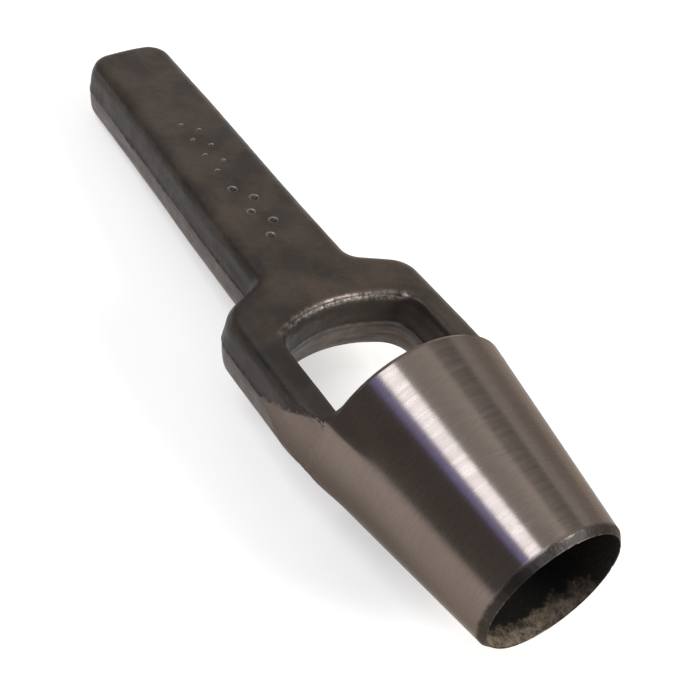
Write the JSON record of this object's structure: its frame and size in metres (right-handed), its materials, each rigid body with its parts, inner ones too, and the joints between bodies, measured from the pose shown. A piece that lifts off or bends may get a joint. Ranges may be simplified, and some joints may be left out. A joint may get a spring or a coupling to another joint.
{
  "type": "drive hole punch",
  "caption": "Steel arch punch: a ring-edged hollow cutter under an arched slug window, with a flat forged shank to strike.",
  "frame": {"origin": "centre of the circular cutting edge", "axes": "+X up the tool's axis to the struck end, +Z out of the broad marked face, the arch's legs lie at +Y and -Y"},
  "size_m": [0.123, 0.0339, 0.0308],
  "materials": {
    "forged_black_steel": "satin black forging scale",
    "ground_steel": "ground around the axis"
  },
  "bodies": {
    "root": {"forged_handle": "forged_black_steel", "cutter_barrel": "ground_steel"}
  },
  "joints": []
}
